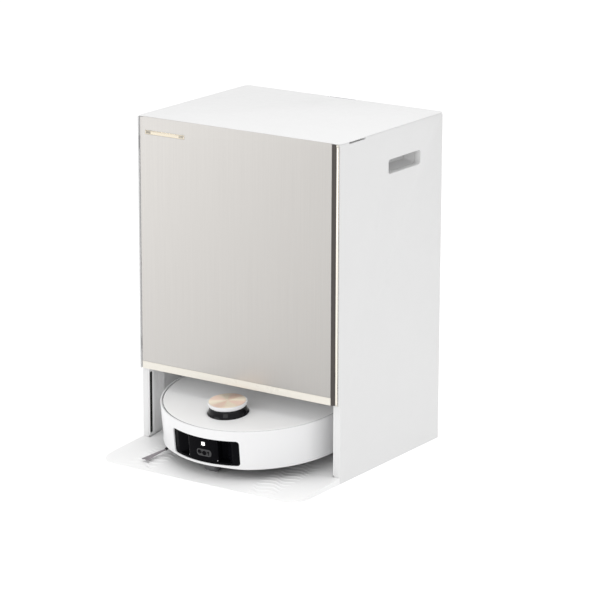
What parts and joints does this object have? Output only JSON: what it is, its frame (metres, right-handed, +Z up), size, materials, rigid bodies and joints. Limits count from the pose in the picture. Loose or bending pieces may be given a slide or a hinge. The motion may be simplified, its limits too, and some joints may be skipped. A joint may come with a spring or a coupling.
{
  "type": "robot vacuum with base station",
  "caption": "Round robot vacuum with a lidar turret, docked nose out in a tall white self-washing station with a brushed door, a sloping tray and side handles.",
  "frame": {"origin": "on the floor under the middle of the bounding box", "axes": "+Z up, the front with the tray and the robot's nose faces -Y, +X to the right"},
  "size_m": [0.428, 0.464, 0.6065],
  "materials": {
    "shell_white": "satin white moulding",
    "robot_white": "satin white moulding",
    "inner_grey": "matte light grey",
    "brushed_door": "vertical brushed champagne",
    "ivory_trim": "pearl ivory",
    "gold": "polished champagne gold",
    "rose_gold": "concentric brushed rose gold",
    "black_gloss": "gloss black",
    "black_matte": "matte black",
    "rubber": "matte",
    "tyre": "treaded",
    "smoke_clear": "translucent smoke grey",
    "dark_tank": "dark translucent",
    "fleece": "short pile",
    "bag_cloth": "non-woven",
    "bristle": "nylon bristle",
    "metal": "bare",
    "board": "solder mask"
  },
  "bodies": {
    "station": {"base_tray": "shell_white", "foot_left": "rubber", "foot_right": "rubber", "wash_board": "inner_grey", "outer_shell": "shell_white", "handle_cup_left": "shell_white", "handle_cup_right": "shell_white", "liner_left": "inner_grey", "liner_right": "inner_grey", "signal_strip_left": "black_gloss", "signal_strip_right": "black_gloss", "bay_back_panel": "inner_grey", "charge_contact_left": "gold", "charge_contact_right": "gold", "bay_ceiling": "inner_grey", "tank_shelf": "inner_grey", "front_fascia": "shell_white", "clean_tank": "smoke_clear", "dirty_tank": "dark_tank", "bag_holder": "inner_grey", "dust_bag": "bag_cloth", "suction_fan": "black_matte", "drying_fan": "black_matte", "water_pump": "inner_grey", "power_supply": "metal", "control_board": "board", "mains_inlet": "black_matte", "door_hinge_lower": "metal", "door_hinge_upper": "metal", "lid_hinge": "metal"},
    "door": {"door_frame": "shell_white", "door_skin": "brushed_door", "door_trim": "ivory_trim", "door_badge": "gold", "door_rail": "gold"},
    "lid": {"top_lid": "shell_white"},
    "robot": {"chassis": "black_matte", "side_shell": "robot_white", "top_cover": "robot_white", "lidar_window": "black_gloss", "lidar_cap": "robot_white", "cap_disc": "rose_gold", "dust_bin": "smoke_clear", "battery": "black_matte", "vacuum_fan": "black_matte"},
    "bumper": {"bumper": "robot_white", "sensor_pocket": "black_gloss", "camera_module": "black_gloss"},
    "lidar": {"lidar_rotor": "black_matte"},
    "drive_left": {"drive_unit_left": "black_matte"},
    "drive_right": {"drive_unit_right": "black_matte"},
    "wheel_left": {"wheel_left": "tyre"},
    "wheel_right": {"wheel_right": "tyre"},
    "side_brush": {"side_brush": "bristle"},
    "main_brush": {"main_brush": "rubber"},
    "caster": {"caster_fork": "black_matte"},
    "caster_wheel": {"caster_wheel": "black_matte"},
    "mop_left": {"mop_left": "fleece"},
    "mop_right": {"mop_right": "fleece"}
  },
  "joints": [
    {"name": "robot_drive", "type": "hinge", "parent": "station", "child": "robot", "pos_m": [0, -0.47832, 4.09035], "axis": [-1, 0, 0], "range_deg": [0, 6.3]},
    {"name": "door_hinge", "type": "hinge", "parent": "station", "child": "door", "pos_m": [-0.207, -0.0996, 0.3742], "axis": [0, 0, -1], "range_deg": [0, 100]},
    {"name": "lid_hinge", "type": "hinge", "parent": "station", "child": "lid", "pos_m": [0, 0.2295, 0.6049], "axis": [-1, 0, 0], "range_deg": [0, 85]},
    {"name": "bumper_press", "type": "slide", "parent": "robot", "child": "bumper", "axis": [0, 0.994, 0.1097], "range_m": [0, 0.002], "stiffness_N_per_m": 600, "springref_m": -0.006},
    {"name": "lidar_spin", "type": "hinge", "parent": "robot", "child": "lidar", "pos_m": [0, -0.13247, 0.11021], "axis": [0, -0.1097, 0.994], "continuous": true},
    {"name": "suspension_left", "type": "hinge", "parent": "robot", "child": "drive_left", "pos_m": [-0.097, -0.0657, 0.06125], "axis": [1, 0, 0], "range_deg": [0, 4], "stiffness_Nm_per_rad": 1, "springref_deg": -28.65},
    {"name": "suspension_right", "type": "hinge", "parent": "robot", "child": "drive_right", "pos_m": [0.097, -0.0657, 0.06125], "axis": [1, 0, 0], "range_deg": [0, 4], "stiffness_Nm_per_rad": 1, "springref_deg": -28.65},
    {"name": "wheel_left_spin", "type": "hinge", "parent": "drive_left", "child": "wheel_left", "pos_m": [-0.118, -0.03334, 0.05979], "axis": [1, 0, 0], "continuous": true},
    {"name": "wheel_right_spin", "type": "hinge", "parent": "drive_right", "child": "wheel_right", "pos_m": [0.118, -0.03334, 0.05979], "axis": [1, 0, 0], "continuous": true},
    {"name": "side_brush_spin", "type": "hinge", "parent": "robot", "child": "side_brush", "pos_m": [-0.118, -0.13176, 0.02176], "axis": [0, -0.1097, 0.994], "continuous": true},
    {"name": "main_brush_spin", "type": "hinge", "parent": "robot", "child": "main_brush", "pos_m": [0, -0.05002, 0.04688], "axis": [1, 0, 0], "continuous": true},
    {"name": "caster_swivel", "type": "hinge", "parent": "robot", "child": "caster", "pos_m": [0, -0.17626, 0.03294], "axis": [0, -0.1097, 0.994], "continuous": true},
    {"name": "caster_roll", "type": "hinge", "parent": "caster", "child": "caster_wheel", "pos_m": [0, -0.17886, 0.02008], "axis": [1, 0, 0], "continuous": true},
    {"name": "mop_left_spin", "type": "hinge", "parent": "robot", "child": "mop_left", "pos_m": [-0.078, 0.06703, 0.04371], "axis": [0, -0.1097, 0.994], "continuous": true},
    {"name": "mop_right_spin", "type": "hinge", "parent": "robot", "child": "mop_right", "pos_m": [0.078, 0.06703, 0.04371], "axis": [0, -0.1097, 0.994], "continuous": true}
  ],
  "couplings": [
    {"joint": "mop_right_spin", "follows": "mop_left_spin", "ratio": -1}
  ]
}
